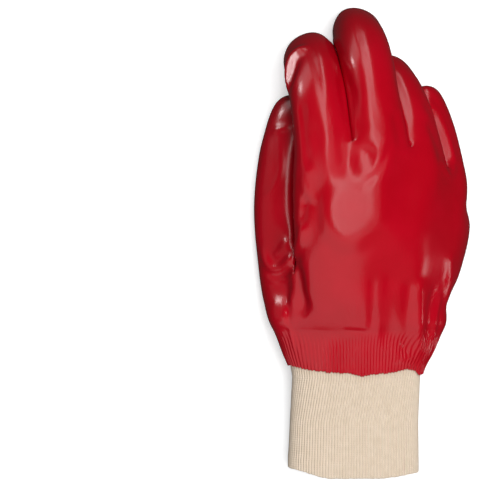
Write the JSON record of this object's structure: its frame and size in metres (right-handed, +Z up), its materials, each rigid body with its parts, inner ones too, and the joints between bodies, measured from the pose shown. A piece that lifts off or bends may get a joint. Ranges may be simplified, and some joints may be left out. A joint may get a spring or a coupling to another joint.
{
  "type": "work glove",
  "caption": "Coated work glove for the right hand with a rib-knit wrist, lying palm down with its fingers curled to the surface; protects the hand from oil and abrasion.",
  "frame": {"origin": "middle of the glove's box, on the surface that it lies on", "axes": "+Y from the wrist to the fingertips, +Z up out of the back of the hand, -X towards the thumb"},
  "size_m": [0.1194, 0.258, 0.059],
  "materials": {
    "coat": "glossy dipped coating",
    "knit": "rib-knit cotton"
  },
  "bodies": {
    "root": {"coated_hand": "coat", "knit_wrist": "knit"}
  },
  "joints": []
}
